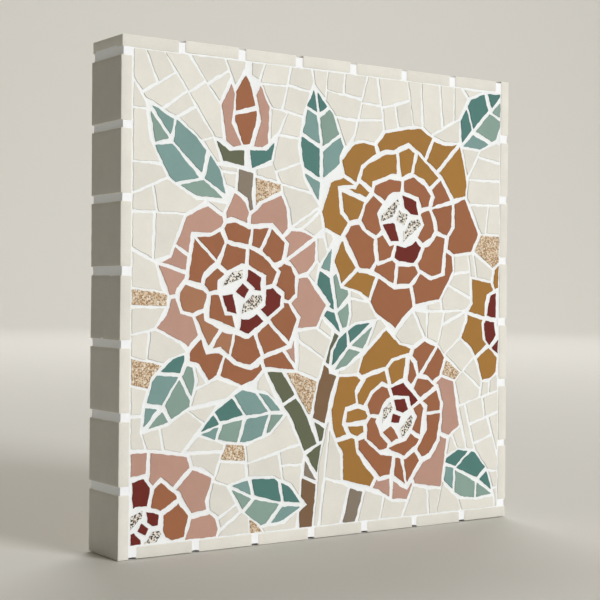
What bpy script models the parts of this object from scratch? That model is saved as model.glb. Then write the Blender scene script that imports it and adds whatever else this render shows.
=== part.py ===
"""A square mosaic wall panel: a board faced with hand-nipped tile shards, framed by four rows of whole tiles.

The panel is modelled lying on its back, as on the maker's bench: x and y run along its face and z is the
height above the wall. At the end an empty stands it up against the wall, with its face towards -Y.
Everything is in metres.
"""

import math
import random

import bmesh
import bpy
from mathutils import Matrix, Vector
from mathutils.geometry import delaunay_2d_cdt

# Driving dimensions
TILE_SIDE = 0.025
TILE_THICKNESS = 0.0048
TILE_EDGE_BEVEL = 0.0005
TILES_PER_SIDE = 7
SIDE_JOINT = 0.0032
SIDE_JOINT_RECESS = 0.0006
BED_THICKNESS = 0.0015
PICTURE_JOINT = 0.0020
BACKGROUND_JOINT = 0.0014
RIM_JOINT = 0.0003
FACE_JOINT_DEPTH = 0.0006
BACKGROUND_SHARD = 0.0145
SMALLEST_SHARD = 0.0028
SHARD_STRAIGHTNESS = 0.0005
NIPPED_OFF = 0.0008
JOINT_SHARE = 0.30
INWARD_CORNER = math.radians(208)
UNEVENNESS = 0.45
NIP_SLANT = 0.25
NEARLY_PARALLEL = 0.02
RIM_STRAIGHTNESS = 0.0002
CLEARANCE = 0.0003

# Sizes worked out from them. Each row of whole tiles runs from one corner to the joint before the next row.
PANEL_SIDE = TILES_PER_SIDE * (TILE_SIDE + SIDE_JOINT) + TILE_THICKNESS
HALF_PANEL = PANEL_SIDE / 2
HALF_FIELD = HALF_PANEL - TILE_THICKNESS - CLEARANCE
FIELD = 2 * HALF_FIELD
BOARD_SIDE = PANEL_SIDE - 2 * (TILE_THICKNESS + BED_THICKNESS)
BOARD_THICKNESS = TILE_SIDE - TILE_THICKNESS - BED_THICKNESS
FACE_HEIGHT = TILE_SIDE
GROUT_HEIGHT = FACE_HEIGHT - FACE_JOINT_DEPTH
BED_FLOOR = BOARD_THICKNESS + CLEARANCE
POCKET_FLOOR = BOARD_THICKNESS + BED_THICKNESS
MOTIF_FLOOR = POCKET_FLOOR + CLEARANCE

# Colours of the unglazed porcelain, the grout and the board, as linear red, green and blue
CREAM = (0.80, 0.77, 0.70)
WHITE_GROUT = (0.90, 0.90, 0.90)
DUSTY_PINK = (0.50, 0.30, 0.24)
TERRACOTTA = (0.36, 0.17, 0.10)
OCHRE = (0.40, 0.21, 0.09)
SAGE = (0.26, 0.37, 0.33)
BARK = (0.28, 0.22, 0.17)
PLYWOOD = (0.55, 0.40, 0.24)

# The picture, in shares of the field's side, with (0, 0) at its middle
STEM_WIDTH = 0.044
STEM_LENGTH = 0.125
WOBBLE = 0.11
GROUND_SEED = 5
NIPPING_SEED = 7
SHOULDER_PLACE = 0.20
SHOULDER_REACH = (1 - WOBBLE, 1 + WOBBLE / 2)
TIP_SWAY = 0.14


def material(name, colour, roughness):
    """A plain Principled material."""
    found = bpy.data.materials.get(name)
    if found:
        return found
    made = bpy.data.materials.new(name)
    made.use_nodes = True
    shader = made.node_tree.nodes["Principled BSDF"]
    shader.inputs["Base Color"].default_value = (*colour, 1)
    shader.inputs["Roughness"].default_value = roughness
    shader.inputs["Metallic"].default_value = 0
    return made


def add_object(name, bm, surface):
    """Puts a bmesh into the scene as a named object that lies on the bench."""
    mesh = bpy.data.meshes.new(name)
    bm.to_mesh(mesh)
    bm.free()
    made = bpy.data.objects.new(name, mesh)
    made.data.materials.append(surface)
    made.parent = bench
    bpy.context.scene.collection.objects.link(made)
    return made


def area_of(polygon):
    """Signed area, positive where the corners run anticlockwise."""
    total = 0
    for here, after in zip(polygon, polygon[1:] + polygon[:1]):
        total += here.x * after.y - after.x * here.y
    return total / 2


def point(centre, angle, radius):
    """The point at an angle and a radius from a centre."""
    return Vector((centre[0] + radius * math.cos(angle), centre[1] + radius * math.sin(angle)))


def crossing(one, other):
    """Where two lines meet, each a start and a heading. Nearly parallel ones meet where the other starts."""
    (start, along), (origin, heading) = one, other
    turn = along.x * heading.y - along.y * heading.x
    if abs(turn) < NEARLY_PARALLEL:
        return origin
    gap = origin - start
    return start + along * ((gap.x * heading.y - gap.y * heading.x) / turn)


def inset(polygon, distances):
    """The polygon with each side moved inwards, by one distance at its start and another at its end. A side
    that would turn round is left out."""
    lines = []
    for here, after, (at_start, at_end) in zip(polygon, polygon[1:] + polygon[:1], distances):
        along = (after - here).normalized()
        inwards = Vector((-along.y, along.x))
        start = here + inwards * at_start
        lines.append((start, (after + inwards * at_end - start).normalized()))
    while len(lines) > 2:
        corners = [crossing(lines[i - 1], lines[i]) for i in range(len(lines))]
        ends = corners[1:] + corners[:1]
        lengths = [(after - here).dot(along) for here, after, (_, along) in zip(corners, ends, lines)]
        worst = min(range(len(lines)), key=lengths.__getitem__)
        if lengths[worst] > 0:
            return corners
        del lines[worst]
    return None


def inset_evenly(polygon, distance):
    """The polygon with every side moved inwards by the same distance."""
    return inset(polygon, [(distance, distance)] * len(polygon))


def straightened(polygon, tolerance, outer_tolerance=0):
    """The polygon without corners that lie within the tolerance of the line between their neighbours. Corners
    that point outwards may have a wider tolerance."""
    corners = list(polygon)
    index = 0
    while len(corners) > 3 and index < len(corners):
        before, here, after = corners[index - 1], corners[index], corners[(index + 1) % len(corners)]
        span = after - before
        gap = here - before
        bulge = span.y * gap.x - span.x * gap.y
        limit = max(tolerance, outer_tolerance) if bulge > 0 else tolerance
        if span.length < tolerance or abs(bulge) < limit * span.length:
            del corners[index]
            index = max(index - 1, 0)
        else:
            index += 1
    return corners


class Piece:
    """A flat shape of the picture: the node that it belongs to, its outline and the cuts across it."""

    def __init__(self, node, outline, cuts=()):
        self.node = node
        self.outline = outline if area_of(outline) > 0 else outline[::-1]
        self.cuts = cuts


def petal_ring(node, centre, count, notch, shoulder, tip, turn, seed, split=0):
    """Petals side by side, as sectors from the bloom's centre, so that the ring laid over them hides their
    roots. Every split-th petal is cut lengthwise."""
    chance = random.Random(seed)
    step = 2 * math.pi / count
    sides = [turn + step * (i + chance.uniform(-WOBBLE, WOBBLE) * 2) for i in range(count)]
    depths = [notch * chance.uniform(1 - WOBBLE, 1 + WOBBLE) for _ in range(count)]
    pieces = []
    for i in range(count):
        left, right = sides[i], sides[(i + 1) % count] + (2 * math.pi if i + 1 == count else 0)
        width = right - left
        reach = tip * chance.uniform(1 - WOBBLE, 1 + WOBBLE)
        middle = left + width * (0.5 + chance.uniform(-TIP_SWAY, TIP_SWAY))
        outline = [
            Vector(centre),
            point(centre, left, depths[i]),
            point(centre, left + SHOULDER_PLACE * width, shoulder * chance.uniform(*SHOULDER_REACH)),
            point(centre, middle, reach),
            point(centre, right - SHOULDER_PLACE * width, shoulder * chance.uniform(*SHOULDER_REACH)),
            point(centre, right, depths[(i + 1) % count]),
        ]
        cuts = []
        if split and i % split == 0:
            cuts.append((Vector(centre), point(centre, middle, 1.1 * reach)))
        pieces.append(Piece(node, outline, cuts))
    return pieces


def heart(node, centre, radius, count, turn):
    """The middle of a bloom: wedges round one small shard."""
    core = 0.42 * radius
    wedges = petal_ring(node, centre, count, 0.94 * radius, radius, 1.02 * radius, turn, count)
    ring = [point(centre, turn + math.pi / 2 * i, core) for i in range(4)]
    return wedges + [Piece(node, ring)]


def leaf(node, base, tip, width, bend, veins):
    """A pointed leaf with a midrib: two halves, each cut across by slanting veins."""
    base, tip = Vector(base), Vector(tip)
    along = tip - base
    side = Vector((-along.y, along.x)).normalized()

    def rib(share):
        return base + along * share + side * (bend * along.length * math.sin(math.pi * share))

    shares = [0.0, 0.22, 0.48, 0.76, 1.0]
    halves = []
    for sign in (1, -1):
        swell = [0.0, 0.74, 1.0, 0.66, 0.0]
        edge = [rib(s) + side * (sign * width / 2 * w) for s, w in zip(shares, swell)]
        middle = [rib(s) for s in (0.66, 0.33)]
        cuts = []
        for i in range(veins):
            start = (i + 0.75) / (veins + 0.7)
            foot = rib(start)
            out = side * (sign * width * 0.62) + along * 0.17
            cuts.append((foot - out * 0.2, foot + out * 1.2))
        halves.append(Piece(node, edge + middle, cuts))
    return halves


def stem(node, path):
    """A strip of even width along a path, cut across into lengths."""
    path = [Vector(p) for p in path]
    left, right = [], []
    for i, here in enumerate(path):
        along = (path[min(i + 1, len(path) - 1)] - path[max(i - 1, 0)]).normalized()
        out = Vector((-along.y, along.x)) * STEM_WIDTH / 2
        left.append(here + out)
        right.append(here - out)
    return [Piece(node, right + left[::-1], crossings(path))]


def crossings(path):
    """Slightly slanting cuts across a path, one at each stem length."""
    cuts, run = [], 0.0
    for here, after in zip(path, path[1:]):
        along = (after - here).normalized()
        while run + (after - here).length > STEM_LENGTH:
            here = here + along * (STEM_LENGTH - run)
            out = Vector((-along.y + 0.25 * along.x, along.x + 0.25 * along.y)) * STEM_WIDTH * 1.2
            cuts.append((here - out, here + out))
            run = 0.0
        run += (after - here).length
    return cuts


def bud(node, foot, height, turn):
    """A closed flower seen from the side: a middle petal between two outer ones, held by two sepals."""

    def at(x, y):
        return Vector(foot) + Matrix.Rotation(turn, 2) @ Vector((x * height, y * height))

    left = Piece(node, [at(0, 0.02), at(-0.30, 0.22), at(-0.33, 0.62), at(-0.16, 0.93), at(-0.05, 0.55)])
    right = Piece(node, [at(0, 0.02), at(0.30, 0.20), at(0.34, 0.60), at(0.20, 0.90), at(0.05, 0.55)])
    middle = Piece(node, [at(0, 0.02), at(0.17, 0.45), at(0.13, 0.80), at(0.02, 1.0), at(-0.13, 0.78),
                          at(-0.17, 0.42)], [(at(-0.3, 0.50), at(0.3, 0.62))])
    sepal_right = Piece(node, [at(0.02, -0.10), at(0.33, -0.02), at(0.42, 0.30), at(0.22, 0.13), at(0, 0.16)])
    sepal_left = Piece(node, [at(-0.02, -0.10), at(-0.33, -0.02), at(-0.42, 0.26), at(-0.24, 0.13),
                              at(0, 0.16)])
    return [left, right, middle, sepal_right, sepal_left]


def picture():
    """The pieces of the picture in the order that they are laid over each other, the lowest first."""
    pieces = []
    pieces += stem("stem_tall", [(-0.07, -0.52), (-0.055, -0.36), (-0.02, -0.20), (0.03, -0.07), (0.10, 0.05),
                                 (0.16, 0.14)])
    pieces += stem("stem_low", [(0.045, -0.52), (0.075, -0.42), (0.13, -0.33)])
    pieces += stem("stem_bud", [(-0.225, 0.15), (-0.232, 0.22), (-0.225, 0.30)])
    pieces += leaf("leaf_top_left", (-0.27, 0.20), (-0.47, 0.40), 0.115, 0.06, 2)
    pieces += leaf("leaf_top", (-0.035, 0.20), (-0.055, 0.47), 0.125, -0.05, 3)
    pieces += leaf("leaf_top_right", (0.37, 0.36), (0.52, 0.50), 0.13, 0.0, 2)
    pieces += leaf("leaf_middle", (0.035, -0.09), (0.005, 0.13), 0.10, 0.10, 2)
    pieces += leaf("leaf_inner", (-0.005, -0.165), (0.125, -0.046), 0.075, 0.05, 1)
    pieces += leaf("leaf_left", (-0.36, -0.11), (-0.475, -0.275), 0.11, 0.05, 2)
    pieces += leaf("leaf_low_left", (-0.115, -0.245), (-0.345, -0.285), 0.120, -0.06, 3)
    pieces += stem("stem_left", [(-0.052, -0.33), (-0.085, -0.26), (-0.13, -0.20), (-0.18, -0.10)])
    pieces += leaf("leaf_bottom", (-0.07, -0.45), (-0.27, -0.395), 0.11, 0.06, 2)
    pieces += leaf("leaf_low_right", (0.31, -0.38), (0.49, -0.47), 0.12, 0.05, 2)
    pieces += bud("bud", (-0.225, 0.29), 0.19, 0.06)
    pieces += bloom("terracotta_bloom", (0.195, 0.185), 0.232, 8, 7, 6, 0.30, 11)
    pieces += bloom("pink_bloom", (-0.235, 0.015), 0.212, 10, 8, 6, 0.10, 23)
    pieces += bloom("ochre_bloom", (0.185, -0.275), 0.198, 7, 7, 5, 0.55, 37)
    pieces += side_bloom("corner_bloom", (-0.47, -0.47), 0.185, 9, 6, 0.20, 41)
    pieces += side_bloom("edge_bloom", (0.53, -0.06), 0.150, 8, 6, 0.50, 53)
    return pieces


def bloom(name, centre, radius, outer, inner, small, turn, seed):
    """A full flower in four rings."""
    rings = petal_ring(name, centre, outer, 0.86 * radius, 0.97 * radius, radius, turn, seed, 4)
    rings += petal_ring(name, centre, inner, 0.63 * radius, 0.71 * radius, 0.75 * radius,
                        turn + 0.4, seed + 1, 2)
    rings += petal_ring(name, centre, small, 0.41 * radius, 0.46 * radius, 0.49 * radius,
                        turn + 0.1, seed + 2)
    rings += heart(name, centre, 0.27 * radius, 4, turn)
    return rings


def side_bloom(name, centre, radius, outer, inner, turn, seed):
    """A flower that the frame cuts off, in two rings."""
    rings = petal_ring(name, centre, outer, 0.84 * radius, 0.95 * radius, radius, turn, seed)
    rings += petal_ring(name, centre, inner, 0.50 * radius, 0.58 * radius, 0.62 * radius,
                        turn + 0.3, seed + 1)
    return rings + heart(name, centre, 0.26 * radius, 4, turn)


def coarse_background(seed):
    """Four by four uneven fields behind the picture, later broken up into shards."""
    chance = random.Random(seed)
    lines = 4
    grid = {}
    for i in range(lines + 1):
        for j in range(lines + 1):
            sway = [0 if k in (0, lines) else chance.uniform(-0.04, 0.04) for k in (i, j)]
            grid[i, j] = Vector((i / lines - 0.5 + sway[0], j / lines - 0.5 + sway[1]))
    return [
        Piece("background", [grid[i, j], grid[i + 1, j], grid[i + 1, j + 1], grid[i, j + 1]])
        for i in range(lines)
        for j in range(lines)
    ]


def pinches(loops):
    """The places that the outlines pass through more than once."""
    seen, found = set(), []
    for place in [tuple(p) for loop in loops for p in loop]:
        if place in seen:
            found.append(Vector(place))
        seen.add(place)
    return found


def side_of(line, place):
    """Whether a place lies to the left of a line."""
    start, end = line
    along, gap = end - start, place - start
    return along.x * gap.y - along.y * gap.x > 0


def loops_of(triangles):
    """The closed outlines round a set of triangles, as lists of corner numbers."""
    rims = {}
    inner = {(b, a) for t in triangles for a, b in zip(t, t[1:] + t[:1])}
    for t in triangles:
        for a, b in zip(t, t[1:] + t[:1]):
            if (a, b) not in inner:
                rims.setdefault(a, []).append(b)
    loops = []
    while rims:
        start = next(iter(rims))
        loop, here = [], start
        while here in rims:
            loop.append(here)
            after = rims[here].pop()
            if not rims[here]:
                del rims[here]
            here = after
            if here == start:
                break
        loops.append(loop)
    return loops


def joined_groups(triangles, keys):
    """Sets of triangles that touch along sides and have the same key."""
    owner = {}
    for index, t in enumerate(triangles):
        for a, b in zip(t, t[1:] + t[:1]):
            owner[a, b] = index
    group = [None] * len(triangles)
    found = []
    for first in range(len(triangles)):
        if group[first] is not None:
            continue
        members, waiting = [], [first]
        group[first] = len(found)
        while waiting:
            index = waiting.pop()
            members.append(index)
            t = triangles[index]
            for a, b in zip(t, t[1:] + t[:1]):
                other = owner.get((b, a))
                if other is not None and group[other] is None and keys[other] == keys[first]:
                    group[other] = len(found)
                    waiting.append(other)
        found.append(members)
    return found


def overlay(pieces):
    """Lays the pieces over each other. Returns the outlines of each node's regions, and the cut cells."""
    corners, sides, faces = [], [], []
    for piece in pieces:
        first = len(corners)
        corners += piece.outline
        faces.append(list(range(first, len(corners))))
        for start, end in piece.cuts:
            corners += [start, end]
            sides.append((len(corners) - 2, len(corners) - 1))
    merge = CLEARANCE / FIELD / 3
    places, _, triangles, _, _, owners = delaunay_2d_cdt(corners, sides, faces, 0, merge)
    tops, kept = [], []
    for t, holders in zip(triangles, owners):
        middle = (places[t[0]] + places[t[1]] + places[t[2]]) / 3
        if holders and max(abs(middle.x), abs(middle.y)) < 0.5:
            kept.append((list(t), middle, sorted(holders)))
            tops.append(max(holders))
    triangles = [t for t, _, _ in kept]
    nodes = [pieces[top].node for top in tops]
    largest = {}
    for members in joined_groups(triangles, nodes):
        node = nodes[members[0]]
        if node != "background" and len(members) > len(largest.get(node, [])):
            largest[node] = members
    main = {index for members in largest.values() for index in members}
    for index in range(len(triangles)):
        if index not in main:
            tops[index] = kept[index][2][0]
            nodes[index] = pieces[tops[index]].node
    keys = [
        (top, tuple(side_of(cut, middle) for cut in pieces[top].cuts))
        for top, (_, middle, _) in zip(tops, kept)
    ]
    cells = []
    for members in joined_groups(triangles, keys):
        loops = loops_of([triangles[index] for index in members])
        outline = max(([places[i] for i in loop] for loop in loops), key=area_of)
        cells.append((nodes[members[0]], outline))
    regions = {}
    for node in sorted(largest):
        members = [t for t, name in zip(triangles, nodes) if name == node]
        regions[node] = [[places[i] for i in loop] for loop in loops_of(members)]
    motifs = [t for t, name in zip(triangles, nodes) if name != "background"]
    regions["background"] = [[places[i] for i in loop] for loop in loops_of(motifs)]
    return regions, cells


def chord_from(polygon, start, along):
    """Where a line that leaves a corner of the polygon first meets another side: (side number, place)."""
    origin = polygon[start]
    best = None
    for index in range(len(polygon)):
        here, after = polygon[index], polygon[(index + 1) % len(polygon)]
        if index in (start, (start - 1) % len(polygon)):
            continue
        side = after - here
        turn = along.x * side.y - along.y * side.x
        if abs(turn) < 1e-12:
            continue
        gap = here - origin
        reach = (gap.x * side.y - gap.y * side.x) / turn
        share = (gap.x * along.y - gap.y * along.x) / turn
        if reach > 1e-6 and -1e-6 <= share <= 1 + 1e-6 and (best is None or reach < best[0]):
            best = (reach, index, here + side * share)
    return best and best[1:]


def split_at(polygon, start, side, place):
    """The two polygons that a cut from a corner to a place on a side leaves."""
    count = len(polygon)
    one, index = [polygon[start]], (start + 1) % count
    while index != (side + 1) % count:
        one.append(polygon[index])
        index = (index + 1) % count
    one.append(place)
    other = [place]
    while index != start:
        other.append(polygon[index])
        index = (index + 1) % count
    other.append(polygon[start])
    return one, other


def bend_at(polygon, index):
    """The inner angle at a corner."""
    here = polygon[index]
    before, after = polygon[index - 1] - here, polygon[(index + 1) % len(polygon)] - here
    angle = math.atan2(before.y, before.x) - math.atan2(after.y, after.x)
    return angle % (2 * math.pi)


def evenness(polygon):
    """How compact a polygon is: its area over the square of the way round it."""
    way = sum((after - here).length for here, after in zip(polygon, polygon[1:] + polygon[:1]))
    return area_of(polygon) / way**2


def nips(polygon, chance):
    """The cuts that a nipper could make: from the inward corners if there are any, or else across from long
    sides. Each is the polygon, with the cut's first corner in it, that corner's number and the heading."""
    found = []
    for corner in range(len(polygon)):
        angle = bend_at(polygon, corner)
        if angle > INWARD_CORNER:
            after = polygon[(corner + 1) % len(polygon)] - polygon[corner]
            for share in (0.3, 0.4, 0.5, 0.6, 0.7):
                found.append((polygon, corner, math.atan2(after.y, after.x) + angle * share))
    if found:
        return found
    sides = [(after - here).length for here, after in zip(polygon, polygon[1:] + polygon[:1])]
    for side in sorted(range(len(polygon)), key=sides.__getitem__)[-2:]:
        here, after = polygon[side], polygon[(side + 1) % len(polygon)]
        for share in (0.4, 0.5, 0.6):
            start = here.lerp(after, share + chance.uniform(-0.06, 0.06))
            across = math.atan2(after.y - here.y, after.x - here.x) + math.pi / 2
            heading = across + chance.uniform(-NIP_SLANT, NIP_SLANT)
            found.append((polygon[: side + 1] + [start] + polygon[side + 1 :], side + 1, heading))
    return found


def break_up(polygon, target, chance):
    """Nips a polygon into shards until none has an inward corner or is larger than about the target."""
    polygon = straightened(polygon, RIM_STRAIGHTNESS)
    if len(polygon) < 3 or area_of(polygon) < 2 * SMALLEST_SHARD**2:
        return [polygon] if len(polygon) > 2 else []
    has_inward = any(bend_at(polygon, corner) > INWARD_CORNER for corner in range(len(polygon)))
    if not has_inward and area_of(polygon) < target**2 * chance.uniform(0.7, 1.4):
        return [polygon]
    best = None
    for shape, corner, heading in nips(polygon, chance):
        met = chord_from(shape, corner, Vector((math.cos(heading), math.sin(heading))))
        if met:
            halves = split_at(shape, corner, *met)
            score = min(evenness(half) for half in halves)
            if min(area_of(half) for half in halves) > SMALLEST_SHARD**2 and (not best or score > best[0]):
                best = (score, halves)
    if not best:
        return [polygon]
    return [shard for half in best[1] for shard in break_up(half, target, chance)]


def lies_on_rim(here, after):
    """Whether a side lies along the edge of the field."""
    limit = HALF_FIELD - CLEARANCE / 2
    return any(min(sign * here[i], sign * after[i]) > limit for i in (0, 1) for sign in (1, -1))


def half_joint(here, after, joint, chance):
    """How far a shard stays inside its cell, at the start and the end of a side. By the frame it is less."""
    if lies_on_rim(here, after):
        return RIM_JOINT, RIM_JOINT
    return [joint / 2 * chance.uniform(1 - UNEVENNESS, 1 + UNEVENNESS) for _ in range(2)]


def shard_in(outline, joint, chance):
    """The tile shard inside a cell, half a joint in from each side, or None where it would be a crumb. Small
    shards are set closer."""
    joint = min(joint, JOINT_SHARE * math.sqrt(area_of(outline)))
    for tolerance in (SHARD_STRAIGHTNESS, SHARD_STRAIGHTNESS / 4):
        rim = straightened(outline, tolerance, NIPPED_OFF)
        halves = [half_joint(here, after, joint, chance) for here, after in zip(rim, rim[1:] + rim[:1])]
        shard = len(rim) > 2 and inset(rim, halves)
        if shard and is_simple(shard) and area_of(shard) > SMALLEST_SHARD**2:
            if math.sqrt(area_of(shard) * evenness(shard)) > SMALLEST_SHARD / 7:
                return shard
    return None


def is_simple(polygon):
    """Whether no two sides of the polygon cross."""
    count = len(polygon)
    for i in range(count):
        a, b = polygon[i], polygon[(i + 1) % count]
        for j in range(i + 2, count):
            if (j + 1) % count == i:
                continue
            c, d = polygon[j], polygon[(j + 1) % count]
            if side_of((a, b), c) != side_of((a, b), d) and side_of((c, d), a) != side_of((c, d), b):
                return False
    return True


def flat_map(outlines, holes, raised, sunk):
    """Triangles over the outlines without the holes: the corners, and each triangle with whether it is raised
    and whether it is sunk."""
    corners, faces = [], []
    for polygon in outlines + holes + raised + sunk:
        first = len(corners)
        corners += polygon
        faces.append(list(range(first, len(corners))))
    places, _, triangles, _, _, owners = delaunay_2d_cdt(corners, [], faces, 0, 1e-6)
    rim, cut, up = len(outlines), len(outlines) + len(holes), len(outlines) + len(holes) + len(raised)
    kept = []
    for t, holders in zip(triangles, owners):
        if any(h < rim for h in holders) and not any(rim <= h < cut for h in holders):
            kept.append((t, any(cut <= h < up for h in holders), any(h >= up for h in holders)))
    groups = joined_groups([list(t) for t, _, _ in kept], [0] * len(kept))
    return places, [kept[index] for index in max(groups, key=len)]


def relief(flat, floor, level, high, low):
    """The closed solid over a flat map, level apart from its raised and its sunk triangles."""
    places, marked = flat
    heights = {}
    for t, is_raised, is_sunk in marked:
        for a, b in zip(t, t[1:] + t[:1]):
            heights[a, b] = high if is_raised else low if is_sunk else level
    steps = {}
    for (a, b), height in heights.items():
        for corner in (a, b):
            steps.setdefault(corner, set()).update((height, heights.get((b, a), floor)))
    bm = bmesh.new()
    verts = {}

    def vert(corner, height):
        if (corner, height) not in verts:
            verts[corner, height] = bm.verts.new((*places[corner], height))
        return verts[corner, height]

    for t, _, _ in marked:
        bm.faces.new([vert(corner, heights[t[0], t[1]]) for corner in t])
    for (a, b), height in heights.items():
        foot = heights.get((b, a), floor)
        if height > foot:
            down = [vert(a, h) for h in sorted(steps[a], reverse=True) if foot <= h <= height]
            up = [vert(b, h) for h in sorted(steps[b]) if foot <= h <= height]
            bm.faces.new(down + up)
    underside = [edge for edge in bm.edges if edge.is_boundary]
    bmesh.ops.triangle_fill(bm, use_beauty=True, edges=underside)
    bmesh.ops.recalc_face_normals(bm, faces=bm.faces)
    return bm


def box_bmesh(low, high):
    """A box between two corners."""
    bm = bmesh.new()
    size = [h - l for l, h in zip(low, high)]
    middle = [(h + l) / 2 for l, h in zip(low, high)]
    bmesh.ops.create_cube(bm, size=1, matrix=Matrix.Translation(middle) @ Matrix.Diagonal((*size, 1)))
    return bm


def board():
    """The plywood board that carries everything."""
    half = BOARD_SIDE / 2
    bm = box_bmesh((-half, -half, 0), (half, half, BOARD_THICKNESS))
    add_object("board", bm, material("plywood", PLYWOOD, 0.7))


def row_start(number):
    """Where the numbered tile of the lower row starts, counted from the right-hand corner."""
    return HALF_PANEL - number * (TILE_SIDE + SIDE_JOINT) - TILE_SIDE


def frame_tiles():
    """Four rows of whole tiles on edge round the board. Each row covers one corner, so the rows chase each
    other."""
    names = ("bottom", "right", "top", "left")
    for quarter, name in enumerate(names):
        for number in range(TILES_PER_SIDE):
            start = row_start(number)
            end = start + TILE_SIDE
            bm = box_bmesh((start, -HALF_PANEL, 0), (end, TILE_THICKNESS - HALF_PANEL, FACE_HEIGHT))
            made = add_object(f"frame_tile_{name}_{number + 1}", bm, material("cream_porcelain", CREAM, 0.55))
            made.data.transform(Matrix.Rotation(quarter * math.pi / 2, 4, "Z"))
            bevel = made.modifiers.new("edge", "BEVEL")
            bevel.width = TILE_EDGE_BEVEL
            bevel.segments = 1


def rectangle(left, right, low, high):
    """A rectangle's corners, anticlockwise."""
    return [Vector((left, low)), Vector((right, low)), Vector((right, high)), Vector((left, high))]


def side_grout():
    """The mortar round the board's edge, with a rib in each joint between the frame tiles."""
    inner = BOARD_SIDE / 2 + CLEARANCE
    outer = HALF_PANEL - TILE_THICKNESS - CLEARANCE
    rim = HALF_PANEL - SIDE_JOINT_RECESS
    beside_field = HALF_FIELD + CLEARANCE
    coats, ribs = [rectangle(-outer, outer, -outer, outer)], []
    for quarter in range(4):
        turn = Matrix.Rotation(quarter * math.pi / 2, 2)
        for number in range(TILES_PER_SIDE):
            end = row_start(number) - CLEARANCE
            start = end - SIDE_JOINT + 2 * CLEARANCE
            coats.append([turn @ p for p in rectangle(start, end, -rim, -(inner + outer) / 2)])
            ribs.append([turn @ p for p in rectangle(start, end, -rim, -beside_field)])
    opening = [rectangle(-inner, inner, -inner, inner)]
    bm = relief(flat_map(coats, opening, ribs, []), 0, BOARD_THICKNESS, GROUT_HEIGHT, 0)
    add_object("side_grout", bm, material("white_grout", WHITE_GROUT, 0.9))


def colour_of(node):
    """The colour and name of the porcelain that most of a node's shards are cut from."""
    tones = (
        ("pink_bloom", "dusty_pink_porcelain", DUSTY_PINK), ("bud", "dusty_pink_porcelain", DUSTY_PINK),
        ("corner_bloom", "dusty_pink_porcelain", DUSTY_PINK), ("ochre_bloom", "ochre_porcelain", OCHRE),
        ("edge_bloom", "ochre_porcelain", OCHRE), ("bloom", "terracotta_porcelain", TERRACOTTA),
        ("leaf", "sage_porcelain", SAGE), ("stem", "bark_porcelain", BARK), ("", "cream_porcelain", CREAM),
    )
    return next((name, colour) for word, name, colour in tones if word in node)


def shards_of(node, outline, chance):
    """The shards of one cell. A motif's cell is one shard where it can be, and the ground is broken up."""
    joint = BACKGROUND_JOINT if node == "background" else PICTURE_JOINT
    whole = node != "background" and shard_in(outline, joint, chance)
    if whole:
        return [whole]
    parts = break_up(outline, BACKGROUND_SHARD if node == "background" else FIELD, chance)
    found = [shard_in(part, joint, chance) for part in parts]
    return [shard for shard in found if shard]


def background(loops, shards):
    """The bed behind the picture, with its shards and with pockets that the motifs lie in."""
    gap = CLEARANCE / 2
    outline = rectangle(-HALF_FIELD, HALF_FIELD, -HALF_FIELD, HALF_FIELD)
    pockets = [inset_evenly(loop, -gap) for loop in loops]
    pockets += [rectangle(p.x - gap, p.x + gap, p.y - gap, p.y + gap) for p in pinches(loops)]
    flat = flat_map([outline], [], shards, pockets)
    return relief(flat, BED_FLOOR, GROUT_HEIGHT, FACE_HEIGHT, POCKET_FLOOR)


def motif(loops, shards):
    """A flower, a leaf or a stem: a bed of its own outline with its shards."""
    gap = CLEARANCE / 2
    outlines = [inset_evenly(loop, gap) for loop in loops if area_of(loop) > 0]
    holes = [inset_evenly(loop, gap)[::-1] for loop in loops if area_of(loop) < 0]
    flat = flat_map(outlines, holes, shards, [])
    return relief(flat, MOTIF_FLOOR, GROUT_HEIGHT, FACE_HEIGHT, MOTIF_FLOOR)


def mosaic_face():
    """The picture and the ground behind it, node by node."""
    chance = random.Random(NIPPING_SEED)
    regions, cells = overlay(coarse_background(GROUND_SEED) + picture())
    scale = Matrix.Diagonal((FIELD, FIELD))
    shards = {node: [] for node in regions}
    for node, outline in cells:
        shards[node] += shards_of(node, [scale @ p for p in outline], chance)
    for node, loops in regions.items():
        loops = [straightened([scale @ p for p in loop], RIM_STRAIGHTNESS) for loop in loops]
        make = background if node == "background" else motif
        name, colour = colour_of(node)
        add_object(node, make(loops, shards[node]), material(name, colour, 0.55))
    print(len(regions), "nodes with", sum(len(found) for found in shards.values()), "shards")


for old in list(bpy.data.objects):
    bpy.data.objects.remove(old)
bench = bpy.data.objects.new("bench", None)
bpy.context.scene.collection.objects.link(bench)
board()
frame_tiles()
side_grout()
mosaic_face()
# The finished panel is stood up against the wall
bench.rotation_euler = (math.pi / 2, 0, 0)
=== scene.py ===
# %% [markdown]
# # A floral mosaic on a small wall panel
#
# The real panel is a board faced with pieces of unglazed porcelain tile. Its maker nipped coloured tiles
# into shards, set them in mortar as flowers and leaves on a cream ground, and pushed white grout into every
# joint. Whole square tiles cover the four sides, and their edges frame the picture.
#
# The solids of the panel come in with the frame: they say where each shard and each tile lies. This lesson
# gives them their looks: nipped and worn edges, the grout's soft hollow surface, the clay's colours and
# specks, and light.

# %% Load the panel's solids
import math
import random

import bpy
import numpy as np
from mathutils import Matrix, Vector, kdtree, noise


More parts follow.
